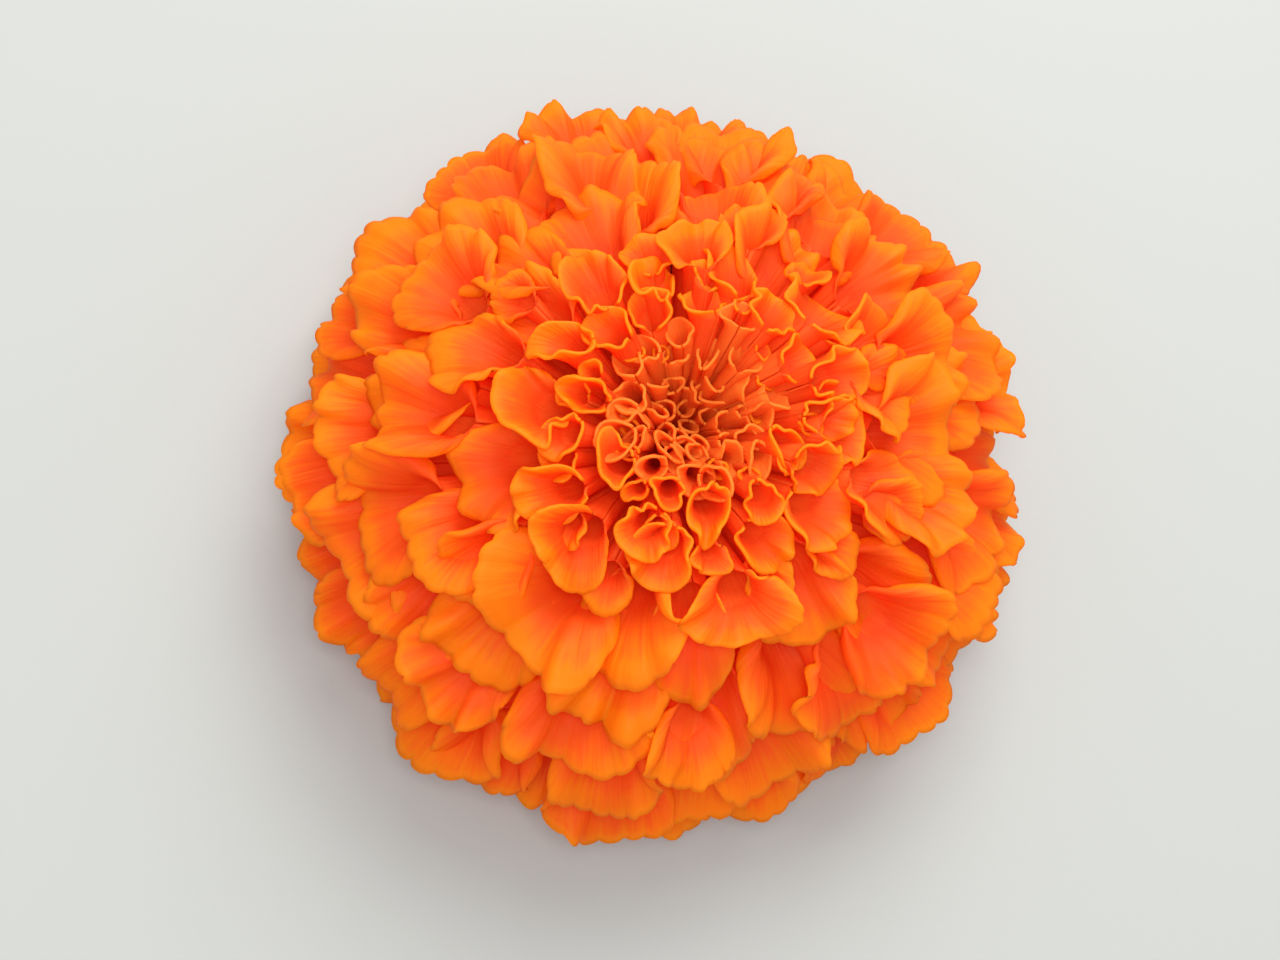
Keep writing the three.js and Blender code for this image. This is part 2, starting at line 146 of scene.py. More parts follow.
# The tube: its foot and a second point of its curve, for the outermost floret, then its radius.
TUBE_FOOT = (8.0, 18.0)
TUBE_RISE = (9.0, 27.0)
TUBE_BEND = 0.5
TUBE_RADIUS = 0.55
TUBE_FLARE = 2.4
TUBE_WRAP = 0.985
TUBE_SPACING = 0.6
THROAT_SHARE = (0.30, -0.05)
THROAT_EXTRA = 0.1
THROAT_DEPTH = 0.9

# The limb's length, shift and width as shares of the cell, and how shut, wrapped and flat it is. All go by
# how far the floret is open, but the wrap of open ones by how near it is to the rim.
LIP_LENGTH = (0.44, 0.20)
LIP_SHIFT = (0.20, 0.22)
LIMB_WIDTH = (0.46, 0.34)
SHUTNESS = (1.15, -1.25)
OPEN_WRAP = (0.56, -0.08)
FLATNESS = 0.85

# How far the limb turns out from the tube, in degrees: at its lip, its sides and its back.
FLARE_START = math.radians(10)
LIP_TURN = (30, 54)
LIP_LIMIT = 120
LEAST_LIP_TURN = math.radians(16)
MOST_LEAN = math.radians(112)
SIDE_TURN = (28, 30, 12)
BACK_TURN = (20, 12, 10)
LIP_FOCUS = 1.4
TURN_EASE = 0.92
UNROLL_EASE = 0.7
CURL = 16
CURL_START = 0.74
CURL_SPAN = 0.26
CURL_EASE = 1.5
CURL_SHARE = (0.35, 0.65)

# The limb's outline: shorter by the slit and at the back, with shoulders and a scalloped margin.
SLIT_TAPER = (0.16, 0.40)
SLIT_POWER = 5
BACK_SHORTER = 0.4
SHOULDERS = 0.05
NOTCH = (0.015, 0.055)
LOBES = (5, 2.4)
OPEN_LOBES = 5
BROAD_SHARE = 0.7
SCALLOP_MEAN = 0.76

# The small cups round the crater are frilled, and pinched wider one way than the other.
FRILL_FADE = (1, -0.55)
FRILL_PINCH = 0.34
DISC_PINCH = 0.42

# Folds run the length of the limb; ruffles are finer and grow towards the margin. Both are spaced a
# little unevenly by the warp, and calm down at the edges of the slit.
FOLD_DEPTH = 0.10
FOLD_OPEN = (0.7, 0.3)
FOLD_RIM = (1, -0.4)
FOLDS = (2.6, 1.0)
FOLD_EASE = 1.3
RUFFLE_DEPTH = 0.085
RUFFLE_OPEN = (0.3, 0.42)
RUFFLE_FRILL = 0.9
WAVES = (5.2, 2.6)
WAVES_OPEN = (0.66, 0.5)
RUFFLE_EASE = 2.6
WARP = 0.3
CALM = (0.4, 0.55)
CALM_POWER = 4

# Small florets that fill the gaps of the spiral round the crater: each stands between floret i and two
# neighbours, whose places in the spiral are these steps further on. Floret i's young one has the draws of
# a floret FILLER_DRAWS whole spirals later, so that no two florets share theirs.
FILLER_STEPS = ((13, 21), (8, 21))
FILLER_FIRST = 16
FILLER_LAST = 78
FILLER_STRIDE = 2
FILLER_SCALE = 0.56
FILLER_DEPTH = 4.0
FILLER_GRID = (41, 4, 9)
FILLER_DRAWS = 3

# Petals are thin and a little thicker near the margin: where that swell starts and ends, along the map.
PETAL_THICKNESS = 0.30
RIM_THICKNESS = 0.36
RIM_START = 0.8
RIM_SPAN = 0.16
RIM_END = 1.02
RIM_FADE = 0.06
RIM_LEAST = 0.5

# Where a limb pokes a little way through an earlier one, it is laid back against it. That is for florets
# open further than LAID_OPEN; those past FAN_OPEN are fans, and the rest are cups.
LAID_GAP = 0.36
DEEPEST_POKE = 2.4
DEEPEST_CUP_POKE = 1.3
EDGE_SLACK = 0.5
EDGE_FADE = 1.6
THROAT_ROWS = 4
THROAT_GIVE = 0.4
SMOOTHING_PASSES = 2
LAID_OPEN = 0.08
FAN_OPEN = 0.4

# Florets are gathered into pieces by their angle from the axis in degrees; each has its own fineness:
# (name, node, slot, first angle, last angle, points across, tube rows, limb rows).
PIECES = (
    ("disc_florets_fine", "disc_florets", "disc_petals", 0.0, 20.5, 33, 5, 8),
    ("ray_florets_inner", "ray_florets", "ray_petals", 20.5, 46.0, 57, 5, 12),
    ("ray_florets_upper", "ray_florets", "ray_petals", 46.0, 65.0, 65, 7, 13),
    ("ray_florets_middle", "ray_florets", "ray_petals", 65.0, 81.0, 65, 7, 13),
    ("ray_florets_outer", "ray_florets", "ray_petals", 81.0, 96.0, 65, 7, 13),
    ("ray_florets_lowest", "ray_florets", "ray_petals", 96.0, 180.0, 57, 7, 12),
)


def draw(i, k):
    """A repeatable draw between 0 and 1 for floret i and use k, the same as in the solids."""
    x = math.sin(i * 12.9898 + k * 78.233 + 4.1) * 43758.5453
    return x - math.floor(x)


def signed(i, k):
    return 2 * draw(i, k) - 1


def smooth(x):
    t = min(1.0, max(0.0, x))
    return t * t * (3 - 2 * t)


def rise_over(angle, zone):
    """From 0 to 1 over a zone of the head, given as its first angle and its span in degrees."""
    start, span = zone
    return smooth((angle - math.radians(start)) / math.radians(span))


def grown(pair, part):
    """The least of a pair, plus this part of its growth."""
    return pair[0] + pair[1] * part


def envelope(phi):
    """Radius and height of the envelope at an angle from the axis."""
    height = DOME_HEIGHT if phi < math.pi / 2 else SKIRT_HEIGHT
    reach = 1 / math.hypot(math.sin(phi) / HEAD_RADIUS, math.cos(phi) / height)
    reach -= CRATER_DEPTH * math.exp(-((phi / CRATER_ANGLE) ** 2))
    return reach * math.sin(phi), HUB_Z + reach * math.cos(phi)


def cell_at(phi):
    return CELL_INNER + (CELL_OUTER - CELL_INNER) * smooth(phi / CELL_FULL_ANGLE)


def floret_angles():
    """The angle of each floret in turn: each takes one cell of the envelope's area."""
    angles = []
    phi = FIRST_FLORET_ANGLE
    while phi < LAST_FLORET_ANGLE:
        angles.append(phi)
        here, beyond = envelope(phi), envelope(phi + SLOPE_STEP)
        slope = math.hypot(beyond[0] - here[0], beyond[1] - here[1]) / SLOPE_STEP
        cell = cell_at(phi)
        phi += cell * cell / (2 * math.pi * max(here[0], LEAST_RING * cell) * slope)
    return angles


def tube_lean(phi, azimuth):
    """How far the mouth of a tube leans out: more than its place round the crater, most on the far side."""
    swell = rise_over(phi, SWELL_START) * (1 - rise_over(phi, SWELL_END))
    skirt = SKIRT_DROOP * rise_over(phi, SKIRT_START)
    return phi + math.radians(grown(CRATER_LEAN, math.sin(azimuth))) * swell + skirt


class Floret:
    """The frame and the measures of floret i of a count, whose place on the envelope is an angle.

    A young floret is smaller by its scale and brings its own turn about the head's axis.
    """

    def __init__(self, i, count, place, turn=None, scale=1.0):
        self.index = i
        base = scale * cell_at(place)
        self.cell = base * (1 + self.jitter("cell"))
        spread = TURN_SPREAD * base / max(LEAST_TURN_RADIUS, envelope(place)[0])
        self.azimuth = (i * GOLDEN_ANGLE if turn is None else turn) + spread * self.own("turn")
        phi = place + PLACE_SPREAD * base * self.own("place")
        self.set_zone(phi, scale)
        self.tube_end = tube_lean(phi, self.azimuth)
        self.set_size()
        self.set_turns()
        self.set_tube(phi, scale, count)
        self.set_margin()
        self.phase = {name: 2 * math.pi * draw(i, k) for name, k in PHASE_DRAWS.items()}

    def share(self, use):
        """The floret's own draw for a use, from 0 to 1."""
        return draw(self.index, DRAWS[use])

    def own(self, use):
        """The floret's own draw for a use, from -1 to 1."""
        return signed(self.index, DRAWS[use])

    def jitter(self, use):
        return JITTER[use] * self.own(use)

    def set_zone(self, phi, scale):
        """How far the floret is open or shut, and how much it belongs to each zone of the head."""
        self.open = rise_over(phi, OPENING)
        self.shut = min(1.0, max(0.0, grown(SHUTNESS, self.open) + self.jitter("shut")))
        self.rim = rise_over(phi, RIM)
        self.wild = rise_over(phi, WILD_START) * (1 - rise_over(phi, WILD_END))
        self.disc = 1 - rise_over(phi, DISC_END)
        self.frill = scale * rise_over(phi, FRILL_START) * grown(FRILL_FADE, self.open)

    def set_size(self):
        """Length of the limb, how far it is set forward, its width and its wrap round the tube."""
        size = 1 + grown(SIZE_SPREAD, self.wild) * self.own("size")
        self.long = self.cell * size * grown(LIP_LENGTH, self.open)
        self.shift = self.cell * size * grown(LIP_SHIFT, self.open)
        self.wide = self.cell * grown(LIMB_WIDTH, self.open) * (1 + self.jitter("width"))
        self.flat = FLATNESS * self.open
        opened = grown(OPEN_WRAP, self.rim) + self.jitter("wrap")
        self.wrap = math.pi * (TUBE_WRAP * self.shut + opened * (1 - self.shut))

    def set_turns(self):
        """How far the lip, the sides and the back of the limb turn out from the tube."""
        free = math.radians(grown(LIP_TURN, self.open) + self.jitter("lip"))
        limit = math.radians(LIP_LIMIT + self.jitter("limit")) - min(self.tube_end, MOST_LEAN)
        self.lip = max(LEAST_LIP_TURN, min(free, limit))
        self.side_turn = math.radians(self.turn_of(SIDE_TURN) + self.jitter("side"))
        self.back_turn = math.radians(self.turn_of(BACK_TURN))
        self.curl = math.radians(CURL + self.jitter("curl"))

    def turn_of(self, measure):
        """A turn in degrees, from its least and its growth in open florets and by the rim."""
        least, opened, rim = measure
        return least + opened * self.open + rim * self.rim

    def set_tube(self, phi, scale, count):
        """The four points of the tube's curve from foot to throat, and the tilt of its mouth."""
        reach = (self.long + self.shift) / (self.lip - FLARE_START)
        reach *= math.sin(self.lip) - math.sin(FLARE_START)
        below = THROAT_DEPTH * reach * (1 + self.jitter("depth"))
        below += FILLER_DEPTH * (1 - scale)
        top = envelope(phi)
        lean = self.tube_end
        inner = math.sqrt((self.index % count + 0.5) / count)
        self.throat = np.array([top[0] - below * math.sin(phi), top[1] - below * math.cos(phi)])
        self.throat_radius = self.cell * grown(THROAT_SHARE, self.open) + THROAT_EXTRA
        self.foot = np.array([TUBE_FOOT[0] * inner, TUBE_FOOT[1]])
        self.rise = np.array([TUBE_RISE[0] * inner, TUBE_RISE[1]])
        span = np.linalg.norm(self.throat - self.rise)
        self.bend = self.throat - TUBE_BEND * span * np.array([math.sin(lean), math.cos(lean)])
        self.lean = lean + self.tilt("lean", LEAN_TILT)
        self.yaw = self.tilt("yaw", YAW_TILT)
        self.twist = self.tilt("twist", TWIST_TILT)

    def tilt(self, use, most_by_zone):
        anywhere, wild, disc, rim = most_by_zone
        most = anywhere + wild * self.wild + disc * self.disc + rim * self.rim
        return math.radians(most) * self.own(use)

    def set_margin(self):
        """Folds, ruffles, scallops and pinch, which grow towards the margin."""
        self.folds = grown(FOLDS, self.share("folds"))
        depth = FOLD_DEPTH + self.jitter("fold")
        self.fold = self.cell * depth * grown(FOLD_OPEN, self.open) * grown(FOLD_RIM, self.rim)
        self.waves = grown(WAVES, self.share("waves")) * grown(WAVES_OPEN, self.open)
        depth = RUFFLE_DEPTH + self.jitter("ruffle")
        self.ruffle = self.cell * depth * (grown(RUFFLE_OPEN, self.open) + RUFFLE_FRILL * self.frill)
        self.notch = grown(NOTCH, self.open)
        self.lobes = round(grown(LOBES, self.share("lobes"))) + OPEN_LOBES * round(self.open)
        self.pinch = (FRILL_PINCH * self.frill + DISC_PINCH * self.disc) * self.own("pinch")

    def axes(self, lean, part):
        """Axis, front and side directions where this part of the yaw and twist has built up."""
        yaw, twist = self.yaw * part, self.twist * part
        up = np.array([math.sin(lean), 0.0, math.cos(lean)])
        out = np.array([math.cos(lean), 0.0, -math.sin(lean)])
        side = np.array([0.0, 1.0, 0.0])
        axis = up * math.cos(yaw) + side * math.sin(yaw)
        side = side * math.cos(yaw) - up * math.sin(yaw)
        front = out * math.cos(twist) + side * math.sin(twist)
        side = side * math.cos(twist) - out * math.sin(twist)
        return axis, front, side

    def tube_row(self, t, across):
        """A row of points round the tube, t from 0 at the foot to 1 at the throat."""
        s = 1 - t
        centre = s ** 3 * self.foot + 3 * s * s * t * self.rise
        centre = centre + 3 * s * t * t * self.bend + t ** 3 * self.throat
        heading = s * s * (self.rise - self.foot) + 2 * s * t * (self.bend - self.rise)
        heading = heading + t * t * (self.throat - self.bend)
        lean = math.atan2(heading[0], heading[1])
        axis, front, side = self.axes(lean + (self.lean - self.tube_end) * t, t ** 3)
        radius = TUBE_RADIUS + (self.throat_radius - TUBE_RADIUS) * t ** TUBE_FLARE
        theta = across * math.pi * TUBE_WRAP
        origin = np.array([centre[0], 0.0, centre[1]])
        return origin + ring_offsets(radius, 0.0, theta, axis, front, side)

    def outline(self, theta, across):
        """Length of the limb in each direction: an ellipse set forward, with rounded lobes."""
        cos, sin = np.cos(theta), np.sin(theta)
        curve = (cos / self.long) ** 2 + (sin / self.wide) ** 2
        root = np.maximum(curve - (self.shift * sin / (self.long * self.wide)) ** 2, 0)
        length = (self.shift * cos / self.long ** 2 + np.sqrt(root)) / curve
        length = length * (1 - grown(SLIT_TAPER, 1 - self.shut) * np.abs(across) ** SLIT_POWER)
        length = length * (1 - BACK_SHORTER * self.open * np.clip(-cos, 0, 1))
        shoulders = 1 + SHOULDERS * self.open * np.sin(2 * theta) ** 2 * np.clip(2 * cos, 0, 1)
        return length * shoulders * self.scallops(theta)

    def scallops(self, theta):
        """Broad lobes with smaller rounded ones on them, as a factor of the length."""
        broad = np.cos(self.lobes * 0.5 * theta + self.phase["broad"])
        scallop = np.sqrt(np.abs(np.sin(self.lobes * theta + self.phase["scallop"])))
        return 1 + self.notch * (BROAD_SHARE * broad + scallop - SCALLOP_MEAN)

    def turns(self, outer, middle):
        """How far the limb has turned out from the tube at each step, for each direction."""
        cos = np.cos(outer)
        to_lip = np.clip(cos, 0, 1) ** LIP_FOCUS
        to_back = np.clip(-cos, 0, 1)
        full = self.side_turn + (self.lip - self.side_turn) * to_lip
        full = full + (self.back_turn - self.side_turn) * to_back
        plane = np.arctan2(math.sin(self.lip), math.cos(self.lip) * cos)
        full = full + self.flat * (plane - full)
        near_margin = np.clip((middle - CURL_START) / CURL_SPAN, 0, 1)[:, None]
        rolled = self.curl * grown(CURL_SHARE, to_lip) * near_margin ** CURL_EASE
        return FLARE_START + (full - FLARE_START)[None, :] * middle[:, None] ** TURN_EASE + rolled

    def relief(self, spread, along, across):
        """How far the folds and ruffles lift the limb off its even surface."""
        warped = spread + WARP * np.sin(2 * spread + self.phase["warp"])
        along = along[:, None]
        fold = self.fold * along ** FOLD_EASE * np.sin(self.folds * warped + self.phase["fold"])
        ruffle = self.ruffle * along ** RUFFLE_EASE * np.sin(self.waves * warped + self.phase["ruffle"])
        calm = 1 - grown(CALM, self.shut) * np.abs(across[None, :]) ** CALM_POWER
        return calm * (fold + ruffle)

    def limb(self, along, across):
        """Points of the limb, along from 0 at the throat to 1 at the margin, by rows."""
        steps = np.concatenate([[0.0], along])
        closed = TUBE_WRAP * math.pi
        theta = across[None, :] * (closed + (self.wrap - closed) * along[:, None] ** UNROLL_EASE)
        outer = across * self.wrap
        fanned = self.flat * (np.arctan2(math.sin(self.lip) * np.sin(outer), np.cos(outer)) - outer)
        angle = self.turns(outer, (steps[1:] + steps[:-1]) / 2)
        stride = self.outline(outer + fanned, across)[None, :] * np.diff(steps)[:, None]
        lift = self.relief(theta + fanned[None, :], along, across)
        radius = self.throat_radius + np.cumsum(stride * np.sin(angle), axis=0) - np.cos(angle) * lift
        rise = np.cumsum(stride * np.cos(angle), axis=0) + np.sin(angle) * lift
        axis, front, side = self.axes(self.lean, 1.0)
        origin = np.array([self.throat[0], 0.0, self.throat[1]])
        rows = []
        for r, h, t, part in zip(radius, rise, theta, along):
            pinch = self.pinch * part
            rows.append(origin + ring_offsets(r, h, t, axis, front * (1 + pinch), side * (1 - pinch)))
        return rows


def ring_offsets(radius, rise, theta, axis, front, side):
    """Offsets from a centre for radii and rises at angles about an axis."""
    radius = np.broadcast_to(radius, theta.shape)
    rise = np.broadcast_to(rise, theta.shape)
    around = np.outer(radius * np.cos(theta), front) + np.outer(radius * np.sin(theta), side)
    return around + np.outer(rise, axis)


def bent_up(z):
    """Heights near the surface are drawn in smoothly, so that low petals lie along it."""
    low = BEND_Z - BEND_DEPTH * (1 - np.exp((np.minimum(z, BEND_Z) - BEND_Z) / BEND_DEPTH))
    return np.maximum(np.where(z >= BEND_Z, z, low), LOWEST_Z)


def floret_grid(floret, columns, tube_rows, limb_rows):
    """The middle surface of a floret: points and a map, whose halves are the tube and the limb."""
    across = np.linspace(-1, 1, columns)
    along_tube = np.linspace(0, 1, tube_rows) ** TUBE_SPACING
    along_limb = np.linspace(0, 1, limb_rows + 1)[1:]
    rows = [floret.tube_row(t, across) for t in along_tube]
    rows += floret.limb(along_limb, across)
    points = np.stack(rows)
    turn = np.array([[math.cos(floret.azimuth), math.sin(floret.azimuth)],
                     [-math.sin(floret.azimuth), math.cos(floret.azimuth)]])
    points[..., :2] = points[..., :2] @ turn
    points[..., 2] = bent_up(points[..., 2])
    along = np.concatenate([0.5 * along_tube, 0.5 + 0.5 * along_limb])
    uv = np.stack(np.broadcast_arrays(0.5 + 0.5 * across[None, :], along[:, None]), -1)
    return points, uv


def grid_normals(points):
    normals = np.cross(np.gradient(points, axis=0), np.gradient(points, axis=1))
    normals /= np.maximum(np.linalg.norm(normals, axis=-1, keepdims=True), TINY)
    return normals


def thick_sheet(points, uv):
    """Vertices, quads and uv of a closed thin solid on both sides of a grid, thicker by its margin."""
    along = uv[..., 1:]
    swell = np.clip((along - RIM_START) / RIM_SPAN, 0, 1)
    swell = swell * np.clip((RIM_END - along) / RIM_FADE, RIM_LEAST, 1)
    half = grid_normals(points) * (PETAL_THICKNESS + (RIM_THICKNESS - PETAL_THICKNESS) * swell) / 2
    vertices = np.concatenate([(points + half).reshape(-1, 3), (points - half).reshape(-1, 3)])
    rows, columns = points.shape[:2]
    face = np.arange(rows * columns).reshape(rows, columns)
    back = face + rows * columns
    quads = [quads_between(face), quads_between(back)[:, ::-1]]
    for line in (face[0], face[-1][::-1], face[:, -1], face[::-1, 0]):
        other = line + rows * columns
        quads.append(np.stack([line[1:], line[:-1], other[:-1], other[1:]], -1))
    flat = uv.reshape(-1, 2)
    return vertices, np.concatenate(quads), np.concatenate([flat, flat])


def quads_between(index):
    corners = [index[:-1, :-1], index[:-1, 1:], index[1:, 1:], index[1:, :-1]]
    return np.stack(corners, -1).reshape(-1, 4)


def axis_origin():
    """The head's axis on the floor, in the frame that the solids share: the stalk is centred on it."""
    low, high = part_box("peduncle")
    return np.array([(low[0] + high[0]) / 2, (low[1] + high[1]) / 2, 0.0]) / MM - np.array([0, 0, FLOOR_Z])


HEAD_ORIGIN = axis_origin()


def mesh_object(name, vertices, quads, uv_maps):
    """A smooth-shaded mesh from arrays; vertices are in millimetres about the head's axis."""
    mesh = bpy.data.meshes.new(name)
    mesh.vertices.add(len(vertices))
    mesh.vertices.foreach_set("co", ((vertices + HEAD_ORIGIN) * MM).ravel())
    mesh.loops.add(quads.size)
    mesh.loops.foreach_set("vertex_index", quads.ravel())
    mesh.polygons.add(len(quads))
    mesh.polygons.foreach_set("loop_start", np.arange(0, quads.size, 4))
    mesh.update(calc_edges=True)
    for map_name, values in uv_maps.items():
        layer = mesh.uv_layers.new(name=map_name)
        layer.data.foreach_set("uv", values[quads.ravel()].ravel())
    mesh.polygons.foreach_set("use_smooth", np.ones(len(quads), bool))
    made = bpy.data.objects.new(name, mesh)
    bpy.context.scene.collection.objects.link(made)
    return made


def turned_skin(name, rows, sides):
    """A closed body round the axis; each row gives radii, heights and a mark for all its angles."""
    around = np.linspace(0, 2 * math.pi, sides + 1)
    around[-1] = 0.0
    points, marks = [], []
    for radius_at, height_at, mark in rows:
        radius = radius_at(around) * np.ones(sides + 1)
        height = height_at(around) * np.ones(sides + 1)
        points.append(np.stack([radius * np.cos(around), radius * np.sin(around), height], -1))
        marks.append(np.stack([np.linspace(0, 1, sides + 1), np.full(sides + 1, mark)], -1))
    points, marks = np.stack(points), np.stack(marks)
    index = np.arange(points.shape[0] * (sides + 1)).reshape(-1, sides + 1)
    made = mesh_object(name, points.reshape(-1, 3), quads_between(index), {"Skin": marks.reshape(-1, 2)})
    merge_doubles(made)
    return made


def merge_doubles(made):
    shell = bmesh.new()
    shell.from_mesh(made.data)
    bmesh.ops.remove_doubles(shell, verts=shell.verts, dist=MERGE_DISTANCE)
    bmesh.ops.recalc_face_normals(shell, faces=shell.faces)
    shell.to_mesh(made.data)
    shell.free()


class Limb:
    """The open part of a floret's limb as a surface that later limbs are laid against."""

    def __init__(self, points):
        corners = points[THROAT_ROWS:, ::2]
        index = np.arange(corners.shape[0] * corners.shape[1]).reshape(corners.shape[:2])
        self.tree = BVHTree.FromPolygons(corners.reshape(-1, 3).tolist(), quads_between(index).tolist())
        self.low = points.min(axis=(0, 1))
        self.high = points.max(axis=(0, 1))

    def meets(self, other):
        if np.any(self.low > other.high) or np.any(other.low > self.high):
            return False
        return bool(self.tree.overlap(other.tree))

    def sides(self, points):
        """How far each point lies in front of the limb and past its edge, and the limb's normal there."""
        ahead = np.zeros(len(points))
        past = np.full(len(points), np.inf)
        normals = np.zeros((len(points), 3))
        for k, point in enumerate(points.tolist()):
            place, normal, _, distance = self.tree.find_nearest(point, DEEPEST_POKE + EDGE_FADE)
            if place is not None:
                ahead[k] = (Vector(point) - place).dot(normal)
                past[k] = math.sqrt(max(0.0, distance ** 2 - ahead[k] ** 2))
                normals[k] = normal
        return ahead, past, normals


def laid_clear(limb_points, other, deepest):
    """Limb points with the few that poke through another limb moved back to the side of the rest."""
    ahead, past, normals = other.sides(limb_points.reshape(-1, 3))
    over = past < EDGE_SLACK
    way = -1.0 if np.sum(over & (ahead > 0)) < np.sum(over & (ahead < 0)) else 1.0
    poke = np.where(over, -way * ahead, 0.0)
    if poke.max() > deepest:
        return limb_points
    move = np.maximum(0.0, LAID_GAP - way * ahead) * np.clip(1 - past / EDGE_FADE, 0, 1)
    shift = (way * move[:, None] * normals).reshape(limb_points.shape)
    shift[:THROAT_ROWS] *= np.linspace(0, THROAT_GIVE, THROAT_ROWS)[:, None, None]
    for _ in range(SMOOTHING_PASSES):
        shift = smoothed(shift)
    return limb_points + shift


def smoothed(grid):
    """Each value of a grid drawn towards those round it."""
    padded = np.pad(grid, ((1, 1), (1, 1), (0, 0)), "edge")
    rows = (padded[:-2] + 2 * padded[1:-1] + padded[2:]) / 4
    return (rows[:, :-2] + 2 * rows[:, 1:-1] + rows[:, 2:]) / 4


def lay_limbs(loose):
    """Lays each limb in turn clear of the earlier ones that it would poke through."""
    done = []
    for points, first, fan in loose:
        limb = Limb(points[first:])
        for other, other_fan in done:
            if limb.meets(other):
                deepest = DEEPEST_POKE if fan and other_fan else DEEPEST_CUP_POKE
                points[first:] = laid_clear(points[first:], other, deepest)
        points[first:, :, 2] = np.maximum(points[first:, :, 2], LOWEST_Z)
        done.append((Limb(points[first:]), fan))


def floret_piece(name, florets, grids):
    """One piece from many florets, each a closed thin sheet."""
    vertices, quads, along, tints = [], [], [], []
    start = 0
    for floret, (points, uv) in zip(florets, grids):
        v, q, a = thick_sheet(points, uv)
        vertices.append(v)
        quads.append(q + start)
        along.append(a)
        tints.append(np.tile([floret.share("tint"), floret.open], (len(v), 1)))
        start += len(v)
    maps = {"Floret": np.concatenate(along), "Tint": np.concatenate(tints)}
    return mesh_object(name, np.concatenate(vertices), np.concatenate(quads), maps)


def linear(red, green, blue):
    """A screen colour, 0 to 255, as the linear colour that Blender's nodes take."""
    def channel(value):
        v = value / 255
        return v / 12.92 if v <= 0.04045 else ((v + 0.055) / 1.055) ** 2.4
    return (channel(red), channel(green), channel(blue), 1.0)


# Colours of the petals along the map, from the tube to the margin, as screen colours.
RAY_STOPS = (
    (0.42, (253, 130, 48)),
    (0.56, (248, 97, 28)),
    (0.78, (250, 118, 25)),
    (0.95, (252, 159, 8)),
    # The last stop is not on the ramp: it is the colour of the painted highlight along the margin.
    (1.0, (253, 170, 26)),
)
DISC_STOPS = (
    (0.25, (242, 108, 38)),
    (0.5, (250, 128, 42)),
    (0.8, (253, 142, 46)),
    # The last stop is not on the ramp: it is the colour of the painted highlight along the margin.
    (1.0, (254, 166, 60)),
)
# A painted highlight along the margin: a thin pale band, mixed in at this share, as if the lit edge shone.
RIM_HIGHLIGHT_STOPS = ((0.945, (0, 0, 0)), (0.99, (255, 255, 255)))
RIM_HIGHLIGHT_SHARE = 0.75

# Noise on the petals: how often it repeats across and along, and how far it shifts the colours. A bump is
# given as its depth in metres and its strength.
TINT_SHIFT = 0.14
TINT_DEPTH = 61.0
PLEAT_SCALE = (46.0, 2.2)
PLEAT_SHIFT = 0.24
PLEAT_BUMP = (0.00022, 0.8)
BLOTCH_SCALE = (4.0, 5.0)
BLOTCH_SHIFT = 0.22

# A painted glow: the petals give off a little deep red light, which lifts the shade in the gaps and the
# throats, standing in for light that has come through many petals.
PAINTED_RED_GLOW = (1.0, 0.04, 0.01, 1.0)
SPECULAR_LEVEL = 0.25

# Colours of the green parts from below to above, with their ribs, mottling and oil glands.
CUP_STOPS = (
    (0.0, (92, 128, 46)),
    (0.45, (104, 134, 42)),
    (0.75, (128, 138, 40)),
    (0.97, (158, 112, 36)),
    (1.0, (150, 84, 30)),
)
STALK_STOPS = (
    (0.0, (190, 200, 140)),
    (0.08, (118, 146, 66)),
    (0.5, (98, 132, 52)),
    (1.0, (92, 128, 46)),
)
RIB_SCALE = (150.0, 3.0)
RIB_STOPS = ((0.4, (0, 0, 0)), (0.75, (255, 255, 255)))
RIB_COLOUR = (150, 160, 62)
RIB_SHARE = 0.35
RIB_BUMP = (0.0003, 0.5)
MOTTLE_SCALE = (24.0, 8.0)
MOTTLE_DEPTH = 3.0
MOTTLE_SHIFT = 0.24
GLAND_SCALE = (26.0, 4.2)
GLAND_STOPS = ((0.12, (255, 255, 255)), (0.17, (0, 0, 0)))
GLAND_COLOUR = (84, 52, 20)
GLAND_SHARE = 0.75
GREEN_ROUGHNESS = 0.5


